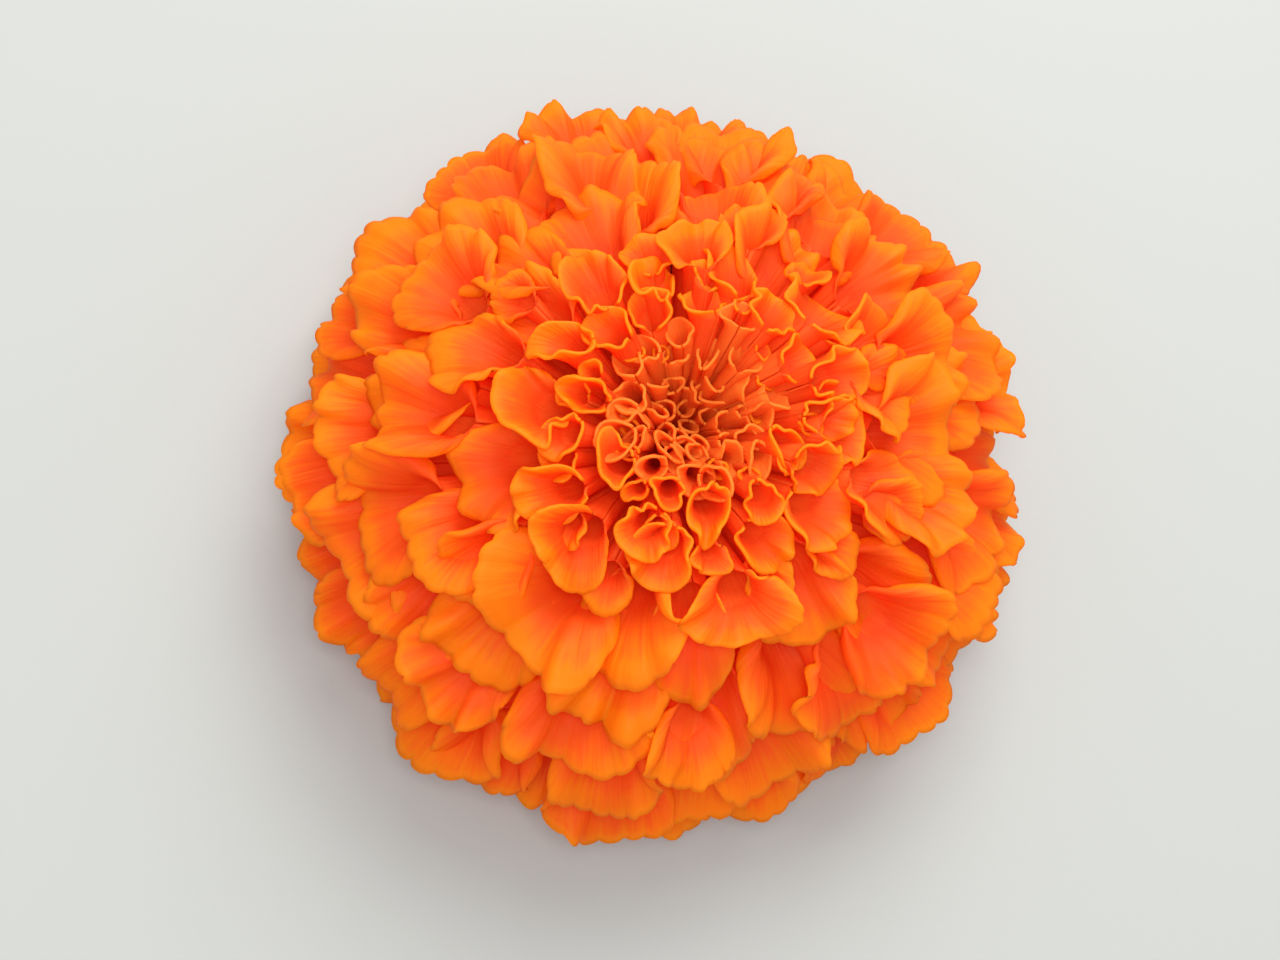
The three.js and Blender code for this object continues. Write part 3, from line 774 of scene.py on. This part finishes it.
class Shader:
    """A material's node tree, with short ways to add and join its nodes."""

    def __init__(self, name):
        self.material = bpy.data.materials.new(name)
        self.material.use_nodes = True
        self.nodes = self.material.node_tree.nodes
        self.links = self.material.node_tree.links
        self.nodes.clear()

    def link(self, source, target):
        self.links.new(source, target)

    def add(self, kind, **settings):
        node = self.nodes.new(kind)
        for key, value in settings.items():
            setattr(node, key, value)
        return node

    def put(self, node, slot, value):
        """Sets an input from a number, a colour or another node's output."""
        if isinstance(value, bpy.types.NodeSocket):
            self.link(value, node.inputs[slot])
        else:
            node.inputs[slot].default_value = value

    def math(self, operation, first, second=0.0):
        node = self.add("ShaderNodeMath", operation=operation)
        self.put(node, 0, first)
        self.put(node, 1, second)
        return node.outputs[0]

    def swing(self, value, size):
        """A value between 0 and 1 as a shift either way, of this size from end to end."""
        return self.math("MULTIPLY", self.math("SUBTRACT", value, 0.5), size)

    def uv(self, name):
        """The two coordinates of a UV map."""
        source = self.add("ShaderNodeUVMap", uv_map=name)
        parts = self.add("ShaderNodeSeparateXYZ")
        self.link(source.outputs[0], parts.inputs[0])
        return parts.outputs[0], parts.outputs[1]

    def point(self, x, y, z=0.0):
        node = self.add("ShaderNodeCombineXYZ")
        for slot, value in enumerate((x, y, z)):
            self.put(node, slot, value)
        return node.outputs[0]

    def stretched(self, across, along, scale):
        """The two coordinates of a map, each with its own scale."""
        return self.math("MULTIPLY", across, scale[0]), self.math("MULTIPLY", along, scale[1])

    def noise(self, across, along, scale, depth):
        """Noise between 0 and 1, drawn out along a petal or rib; each depth has its own pattern."""
        texture = self.add("ShaderNodeTexNoise")
        self.link(self.point(*self.stretched(across, along, scale), depth), texture.inputs["Vector"])
        texture.inputs["Scale"].default_value = 1.0
        texture.inputs["Detail"].default_value = 2.0
        return texture.outputs[0]

    def ramp(self, factor, stops):
        ramp = self.add("ShaderNodeValToRGB")
        elements = ramp.color_ramp.elements
        while len(elements) < len(stops):
            elements.new(0.5)
        for element, (position, colour) in zip(elements, stops):
            element.position = position
            element.color = linear(*colour)
        self.link(factor, ramp.inputs[0])
        return ramp.outputs[0]

    def bump(self, height, distance, strength):
        node = self.add("ShaderNodeBump")
        node.inputs["Distance"].default_value = distance
        node.inputs["Strength"].default_value = strength
        self.link(height, node.inputs["Height"])
        return node.outputs[0]

    def mix(self, factor, first, second):
        node = self.add("ShaderNodeMix", data_type="RGBA", blend_type="MIX")
        self.put(node, 0, factor)
        self.put(node, 6, first)
        self.put(node, 7, second)
        return node.outputs[2]

    def principled(self, colour, roughness, normal, painted_glow=0.0):
        node = self.add("ShaderNodeBsdfPrincipled")
        self.put(node, "Base Color", colour)
        node.inputs["Roughness"].default_value = roughness
        node.inputs["Specular IOR Level"].default_value = SPECULAR_LEVEL
        self.link(normal, node.inputs["Normal"])
        # The emission is a painted glow: petals that are no lamps give off a little deep red light.
        node.inputs["Emission Color"].default_value = PAINTED_RED_GLOW
        node.inputs["Emission Strength"].default_value = painted_glow
        return node.outputs[0]

    def lit_through(self, surface, colour, share):
        """The surface with a share of its light let through, in its own colour."""
        through = self.add("ShaderNodeBsdfTranslucent")
        self.link(colour, through.inputs[0])
        blend = self.add("ShaderNodeMixShader")
        blend.inputs[0].default_value = share
        self.link(surface, blend.inputs[1])
        self.link(through.outputs[0], blend.inputs[2])
        return blend.outputs[0]

    def finish(self, surface):
        output = self.add("ShaderNodeOutputMaterial")
        self.link(surface, output.inputs[0])
        return self.material


def petal_material(name, stops, roughness, clear, painted_glow):
    """Petal tissue: colour that runs from throat to margin with a painted highlight along the margin, a
    painted red glow, fine pleats and light through it.
    """
    shader = Shader(name)
    across, along = shader.uv("Floret")
    tint, _ = shader.uv("Tint")
    own = shader.math("MULTIPLY", tint, TINT_DEPTH)
    pleats = shader.noise(across, along, PLEAT_SCALE, own)
    blotch = shader.noise(across, along, BLOTCH_SCALE, own)
    shift = shader.swing(tint, TINT_SHIFT)
    streak = shader.swing(pleats, PLEAT_SHIFT)
    patch = shader.swing(blotch, BLOTCH_SHIFT)
    place = shader.math("ADD", shader.math("ADD", along, shift), shader.math("ADD", streak, patch))
    # A painted highlight: a thin pale band along the margin in the colour of the last stop.
    edge = shader.math("MULTIPLY", shader.ramp(along, RIM_HIGHLIGHT_STOPS), RIM_HIGHLIGHT_SHARE)
    colour = shader.mix(edge, shader.ramp(place, stops[:-1]), linear(*stops[-1][1]))
    surface = shader.principled(colour, roughness, shader.bump(pleats, *PLEAT_BUMP), painted_glow)
    return shader.finish(shader.lit_through(surface, colour, clear))


def green_material(name, stops, glands):
    """Green skin with long fine ribs, mottling and, on the bracts, rows of dark oil glands."""
    shader = Shader(name)
    across, along = shader.uv("Skin")
    ribs = shader.noise(across, along, RIB_SCALE, 0.0)
    mottle = shader.noise(across, along, MOTTLE_SCALE, MOTTLE_DEPTH)
    colour = shader.ramp(shader.math("ADD", along, shader.swing(mottle, MOTTLE_SHIFT)), stops)
    paler = shader.math("MULTIPLY", shader.ramp(ribs, RIB_STOPS), RIB_SHARE)
    colour = shader.mix(paler, colour, linear(*RIB_COLOUR))
    if glands:
        cells = shader.add("ShaderNodeTexVoronoi")
        shader.link(shader.point(*shader.stretched(across, along, GLAND_SCALE)), cells.inputs["Vector"])
        cells.inputs["Scale"].default_value = 1.0
        dots = shader.math("MULTIPLY", shader.ramp(cells.outputs["Distance"], GLAND_STOPS), GLAND_SHARE)
        colour = shader.mix(dots, colour, linear(*GLAND_COLOUR))
    surface = shader.principled(colour, GREEN_ROUGHNESS, shader.bump(ribs, *RIB_BUMP))
    return shader.finish(surface)


def filler_florets(angles):
    """Young florets, each in the middle between three florets of the spiral."""
    fillers = []
    for i in range(FILLER_FIRST, FILLER_LAST, FILLER_STRIDE):
        steps = FILLER_STEPS[(i // FILLER_STRIDE) % len(FILLER_STEPS)]
        place = (angles[i] + angles[i + steps[0]] + angles[i + steps[1]]) / 3
        turns = [(step * GOLDEN_ANGLE + math.pi) % (2 * math.pi) - math.pi for step in steps]
        turn = i * GOLDEN_ANGLE + sum(turns) / 3
        number = i + FILLER_DRAWS * len(angles)
        fillers.append(Floret(number, len(angles), place, turn, FILLER_SCALE))
    return fillers


def floret_groups():
    """The florets of each piece, as (name, node, slot, florets, fineness)."""
    angles = floret_angles()
    florets = [Floret(i, len(angles), phi) for i, phi in enumerate(angles)]
    groups = []
    for name, node, slot, first, last, *fineness in PIECES:
        chosen = [f for f, phi in zip(florets, angles) if first <= math.degrees(phi) < last]
        groups.append((name, node, slot, chosen, fineness))
    groups.append(("ray_florets_young", "ray_florets", "ray_petals", filler_florets(angles), FILLER_GRID))
    return groups


def laid_grids(groups):
    """The grids of each group's florets, with the limbs of the opened ones laid clear of each other."""
    grids = [[floret_grid(floret, *fineness) for floret in chosen] for *_, chosen, fineness in groups]
    loose = []
    for (*_, chosen, fineness), group in zip(groups, grids):
        first_limb_row = fineness[1] - 1
        for floret, (points, _) in zip(chosen, group):
            if floret.open > LAID_OPEN:
                loose.append((points, first_limb_row, floret.open > FAN_OPEN))
    lay_limbs(loose)
    return grids


def put_in_place(piece, node, material):
    """Dresses a piece, which rides on the part's one body and stands for a node of the solids."""
    piece.data.materials.append(material)
    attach(piece, "root")
    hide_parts(node)


def build_florets():
    # Both petals give off a painted red glow, the ray petals more than the disc petals.
    ray = petal_material("ray_petal", RAY_STOPS, roughness=0.55, clear=0.62, painted_glow=0.07)
    disc = petal_material("disc_petal", DISC_STOPS, roughness=0.6, clear=0.6, painted_glow=0.04)
    groups = floret_groups()
    for (name, node, slot, chosen, _), grids in zip(groups, laid_grids(groups)):
        piece = floret_piece(name, chosen, grids)
        put_in_place(piece, node, disc if node == "disc_florets" else ray)
        print("PIECE", piece.name, 2 * len(piece.data.polygons), "triangles")


# The green cup, as in the solids, with a finer relief: the midrib and the groove of each bract are given
# as a depth and a width, the width as a share of the bract.
CUP_FLOOR_Z = 6.0
CUP_RIM_Z = 19.5
CUP_WALL = 1.1
CUP_RADIUS = (6.4, 4.2)
CUP_SWELL = 1.25
CUP_EASE = 0.8
CUP_SIDES = 240
CUP_ROWS = 36
BRACTS = 8
BRACT_BACK = 0.32
BRACT_MIDRIB = (0.16, 0.05)
BRACT_GROOVE = (0.22, 0.035)
RELIEF_START_Z = 5
RELIEF_SPAN = 6

# Teeth stand on the rim, and the rows under it rise towards them, from this share of the cup's height on.
# The relief fades there.
TOOTH_HEIGHT = 2.6
TOOTH_POWER = 1.2
TEETH_START = 0.55
TEETH_SPAN = 0.45
FADE_START = 0.8
FADE_SPAN = 0.2
FADE_DEPTH = 0.7

# The cup's floor has a ring of points, its edge is thin, and inside each wall is given as (share of the
# height, thickness).
BASE_RING = 4.0
EDGE_INSET = 0.25
EDGE_RISE = 0.12
INSIDE_MARK = 0.1
INNER_WALLS = ((1.0, 0.5), (0.8, 0.9), (0.5, CUP_WALL), (0.15, CUP_WALL))

# The stalk: (height, radius) up its side, and its cut end as (radius, height, mark along the map).
STALK_PROFILE = ((1.8, 4.2), (2.4, 4.5), (4.2, 5.3), (6.04, 6.35))
STALK_END = ((0.0, 2.35, -0.4), (1.0, 2.3, -0.4), (1.5, 1.92, -0.3), (3.9, 1.8, -0.1))
STALK_FIRST_Z = 1.86
STALK_END_Z = 1.8
STALK_MARK_SPAN = 4.2
STALK_SIDES = 160
STALK_ROWS = 18
STALK_RIBS = 10
STALK_FINE_RIBS = 3 * STALK_RIBS
STALK_RIB_DEPTH = 0.15
STALK_FINE_DEPTH = 0.05


def cup_radius(z):
    t = np.clip((z - CUP_FLOOR_Z) / (CUP_RIM_Z - CUP_FLOOR_Z), 0, 1)
    return grown(CUP_RADIUS, np.sin(t * CUP_SWELL) ** CUP_EASE)


def bract_phase(around):
    """From -0.5 at one seam of a bract to 0.5 at the other."""
    return (around * BRACTS / (2 * math.pi)) % 1 - 0.5


def bract_relief(around, z):
    """A rounded back, a narrow midrib and a groove along each seam."""
    phase = bract_phase(around)
    rounded = BRACT_BACK * np.cos(2 * math.pi * phase)
    midrib = BRACT_MIDRIB[0] * np.exp(-((phase / BRACT_MIDRIB[1]) ** 2))
    groove = -BRACT_GROOVE[0] * np.exp(-(((0.5 - np.abs(phase)) / BRACT_GROOVE[1]) ** 2))
    return (rounded + midrib + groove) * smooth((z - RELIEF_START_Z) / RELIEF_SPAN)


def tooth_height(around):
    return TOOTH_HEIGHT * (1 - 2 * np.abs(bract_phase(around))) ** TOOTH_POWER


def steady(value):
    """The same radius or height at every angle."""
    return lambda around: value


def toothed(z, part):
    """A height that rises by this part of the teeth."""
    return lambda around: z + part * tooth_height(around)


def bract_wall(z, part):
    """The outer radius at a height, with this part of the bracts' relief."""
    return lambda around: cup_radius(z) + part * bract_relief(around, z)


def cup_row_at(s):
    """Height on the cup's wall, from 0 at its floor to 1 at its rim, and the part of the teeth there."""
    return CUP_FLOOR_Z + s * (CUP_RIM_Z - CUP_FLOOR_Z), smooth((s - TEETH_START) / TEETH_SPAN)


def cup_rows():
    """Rows of the cup: its floor, up the outside, over the rim and down the inside."""
    rows = [(steady(radius), steady(CUP_FLOOR_Z), 0.0) for radius in (0.0, BASE_RING)]
    for s in np.linspace(0, 1, CUP_ROWS):
        z, part = cup_row_at(s)
        fade = 1 - FADE_DEPTH * smooth((s - FADE_START) / FADE_SPAN)
        rows.append((bract_wall(z, fade), toothed(z, part), s))
    rows.append((steady(cup_radius(CUP_RIM_Z) - EDGE_INSET), toothed(CUP_RIM_Z + EDGE_RISE, 1), 1.0))
    for s, wall in INNER_WALLS:
        z, part = cup_row_at(s)
        rows.append((steady(cup_radius(z) - wall), toothed(z, part), s))
    rows.append((steady(0.0), steady(CUP_FLOOR_Z + CUP_WALL), INSIDE_MARK))
    return rows


def ribbed(radius):
    """A radius with ribs round it, and finer ribs on them."""
    def at(around):
        ribs = STALK_RIB_DEPTH * np.cos(STALK_RIBS * around)
        return radius + ribs + STALK_FINE_DEPTH * np.cos(STALK_FINE_RIBS * around)
    return at


def stalk_rows():
    """Rows of the stalk: its cut end, hollowed in the middle, then up its side to the cup."""
    heights = [z for z, _ in STALK_PROFILE]
    radii = [r for _, r in STALK_PROFILE]
    rows = [(steady(radius), steady(z), mark) for radius, z, mark in STALK_END]
    for z in np.linspace(STALK_FIRST_Z, heights[-1], STALK_ROWS):
        mark = (z - STALK_END_Z) / STALK_MARK_SPAN
        rows.append((ribbed(np.interp(z, heights, radii)), steady(z), mark))
    rows.append((steady(0.0), steady(heights[-1]), 1.0))
    return rows


def build_green_parts():
    cup = turned_skin("bract_cup_fine", cup_rows(), CUP_SIDES)
    put_in_place(cup, "involucre", green_material("green_bracts", CUP_STOPS, glands=True))
    stalk = turned_skin("stalk_fine", stalk_rows(), STALK_SIDES)
    put_in_place(stalk, "peduncle", green_material("green_stalk", STALK_STOPS, glands=False))


# The stage: a pale floor in metres, light from all round, and two lamps as (place, size, power).
FLOOR_SIZE = 12
FLOOR_COLOUR = (168, 170, 166)
FLOOR_ROUGHNESS = 0.9
WORLD_COLOUR = (0.96, 0.98, 1.0, 1.0)
WORLD_STRENGTH = 0.78
KEY_LIGHT = ((-0.12, 0.35, 0.46), 0.42, 3.65)
FRONT_LIGHT = ((0.0, -0.10, 0.5), 0.16, 1.2)
LIGHT_TARGET = Vector((0, 0, 0.02))

# The photograph's camera: its tilt off the head's axis, and its roll; distances in metres, lens in mm.
CAMERA_TILT = math.radians(15)
CAMERA_ROLL = math.radians(-35)
CAMERA_DISTANCE = 0.26
CAMERA_LENS = 57.8
CAMERA_TARGET = Vector((-0.0010, -0.0040, 0.0195))


def floor_material():
    material = bpy.data.materials.new("floor_paper")
    material.use_nodes = True
    surface = material.node_tree.nodes["Principled BSDF"]
    surface.inputs["Base Color"].default_value = linear(*FLOOR_COLOUR)
    surface.inputs["Roughness"].default_value = FLOOR_ROUGHNESS
    return material


def build_floor():
    bpy.ops.mesh.primitive_plane_add(size=FLOOR_SIZE)
    floor = bpy.context.object
    floor.name = "floor"
    floor.data.materials.append(floor_material())


def area_light(name, place, size, power):
    data = bpy.data.lights.new(name, "AREA")
    data.size = size
    data.energy = power
    light = bpy.data.objects.new(name, data)
    light.location = place
    light.rotation_mode = "QUATERNION"
    light.rotation_quaternion = (LIGHT_TARGET - Vector(place)).to_track_quat("-Z", "Y")
    bpy.context.scene.collection.objects.link(light)


def build_light():
    world = bpy.data.worlds.new("studio")
    world.use_nodes = True
    background = world.node_tree.nodes["Background"]
    background.inputs[0].default_value = WORLD_COLOUR
    background.inputs[1].default_value = WORLD_STRENGTH
    bpy.context.scene.world = world
    area_light("key", *KEY_LIGHT)
    area_light("front", *FRONT_LIGHT)
    bpy.context.scene.view_settings.view_transform = "Standard"


def build_camera():
    """Looks down on the head, tilted off its axis, and rolled so that its eye is up and right."""
    data = bpy.data.cameras.new("camera")
    data.lens = CAMERA_LENS
    camera = bpy.data.objects.new("camera", data)
    bpy.context.scene.collection.objects.link(camera)
    back = Vector((0, -math.sin(CAMERA_TILT), math.cos(CAMERA_TILT)))
    camera.location = CAMERA_TARGET + back * CAMERA_DISTANCE
    camera.rotation_mode = "QUATERNION"
    aim = (-back).to_track_quat("-Z", "Y")
    camera.rotation_quaternion = aim @ Quaternion((0, 0, 1), -CAMERA_ROLL)
    bpy.context.scene.camera = camera


build_florets()
build_green_parts()
build_floor()
build_light()
build_camera()
